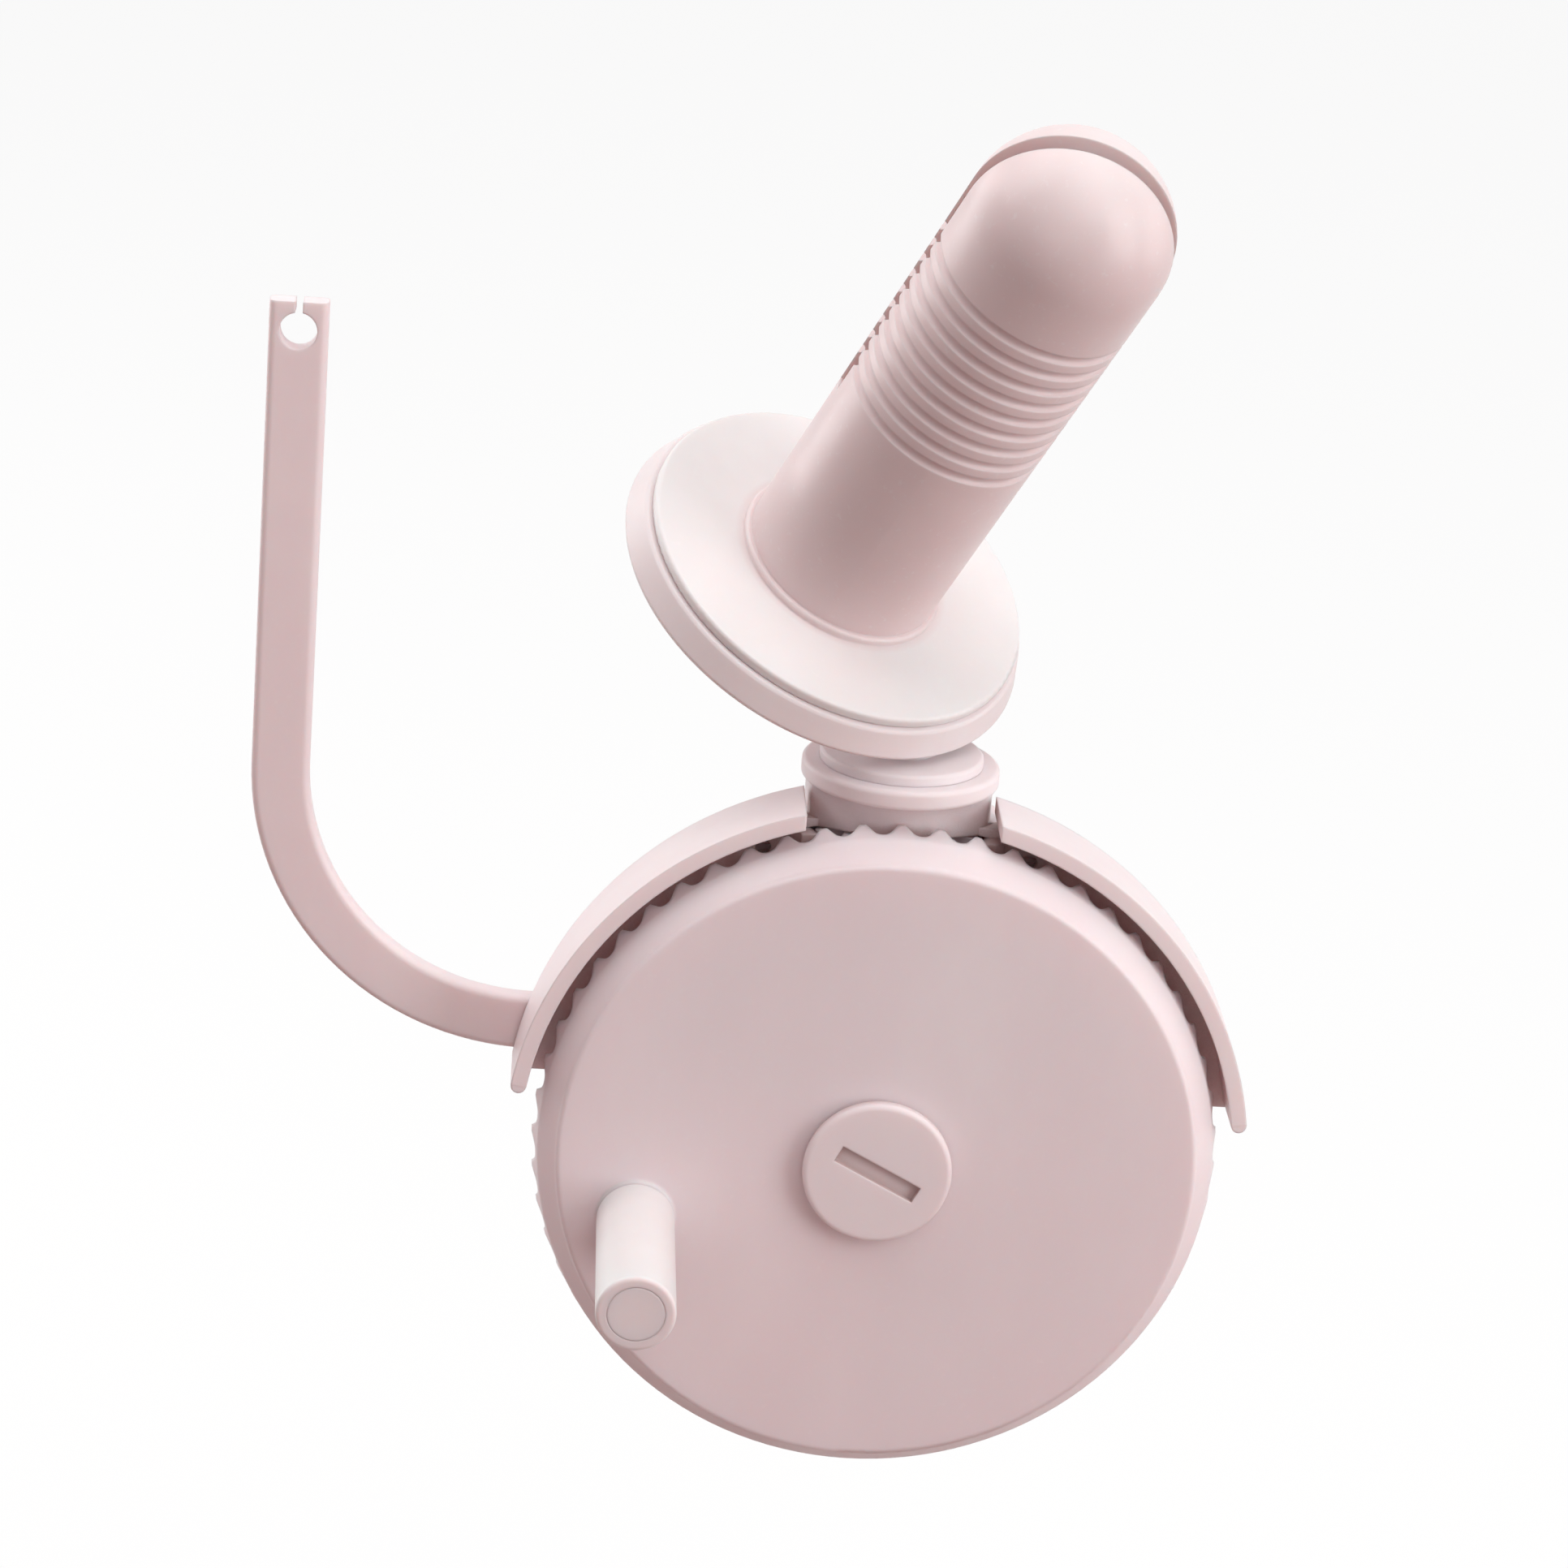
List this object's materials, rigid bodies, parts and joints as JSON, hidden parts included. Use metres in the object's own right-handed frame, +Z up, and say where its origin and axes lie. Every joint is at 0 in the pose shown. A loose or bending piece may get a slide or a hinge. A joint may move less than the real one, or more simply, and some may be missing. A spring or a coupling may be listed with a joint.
{
  "type": "yarn ball winder",
  "caption": "Hand-cranked yarn ball winder with a bevel-toothed hand wheel, a tilted spinning post on a dish, a yarn guide arm and a table clamp.",
  "frame": {"origin": "centre of the rubber pad face that rests on the table top", "axes": "+Z up, +Y away from the user over the table, +X to the user's right"},
  "size_m": [0.1657, 0.1148, 0.2442],
  "materials": {
    "pink_plastic": "satin moulded",
    "steel": "plated",
    "bearing_plastic": "natural acetal",
    "rubber": "matt"
  },
  "bodies": {
    "frame": {"body_housing": "pink_plastic", "rear_cover": "pink_plastic", "cover_screws": "steel", "tower_ring": "pink_plastic", "sun_gear": "pink_plastic", "sun_screws": "steel", "upper_bush": "bearing_plastic", "lower_bush": "bearing_plastic", "gear_axle": "steel", "centre_cap": "pink_plastic", "clamp_bracket": "pink_plastic", "bracket_screws": "steel", "jaw_pad": "rubber", "clamp_nut": "steel", "arm_screw": "steel", "arm_washer": "steel"},
    "wheel": {"drive_gear": "pink_plastic", "crank_stud": "steel", "handle_screw": "steel"},
    "handle": {"crank_handle": "pink_plastic", "handle_plug": "pink_plastic"},
    "head": {"head_arm": "pink_plastic", "bevel_pinion": "pink_plastic", "pinion_washer": "steel", "pinion_screw": "steel", "spindle_axle": "steel", "axle_retainer": "steel"},
    "spindle": {"spindle_post": "pink_plastic", "dish_ring": "pink_plastic", "spindle_bush": "bearing_plastic"},
    "guide": {"guide_arm": "pink_plastic"},
    "press": {"pressure_pad": "pink_plastic"},
    "turnscrew": {"clamp_screw": "steel", "clamp_knob": "pink_plastic"}
  },
  "joints": [
    {"name": "crank_turn", "type": "hinge", "parent": "frame", "child": "wheel", "pos_m": [0, -0.0515, 0.004], "axis": [0, 1, 0], "continuous": true},
    {"name": "handle_spin", "type": "hinge", "parent": "wheel", "child": "handle", "pos_m": [-0.03874, -0.0515, -0.00711], "axis": [0, 1, 0], "continuous": true},
    {"name": "head_spin", "type": "hinge", "parent": "frame", "child": "head", "pos_m": [0, -0.0306, 0.054], "axis": [0, 0, 1], "continuous": true},
    {"name": "spindle_spin", "type": "hinge", "parent": "head", "child": "spindle", "pos_m": [0, -0.0306, 0.1223], "axis": [0.3666, -0.4203, 0.83], "continuous": true},
    {"name": "guide_fold", "type": "hinge", "parent": "frame", "child": "guide", "pos_m": [-0.04, -0.03355, 0.0184], "axis": [0, -1, 0], "range_deg": [0, 90]},
    {"name": "clamp_travel", "type": "slide", "parent": "frame", "child": "press", "axis": [0, 0, 1], "range_m": [-0.014, 0.005]},
    {"name": "clamp_turn", "type": "hinge", "parent": "press", "child": "turnscrew", "pos_m": [0, 0, -0.03], "axis": [0, 0, 1], "range_deg": [-2520, 900]}
  ],
  "couplings": [
    {"joint": "head_spin", "follows": "crank_turn", "ratio": 4},
    {"joint": "spindle_spin", "follows": "crank_turn", "ratio": -0.76923},
    {"joint": "clamp_turn", "follows": "clamp_travel", "rad_per_m": 3141.6}
  ]
}
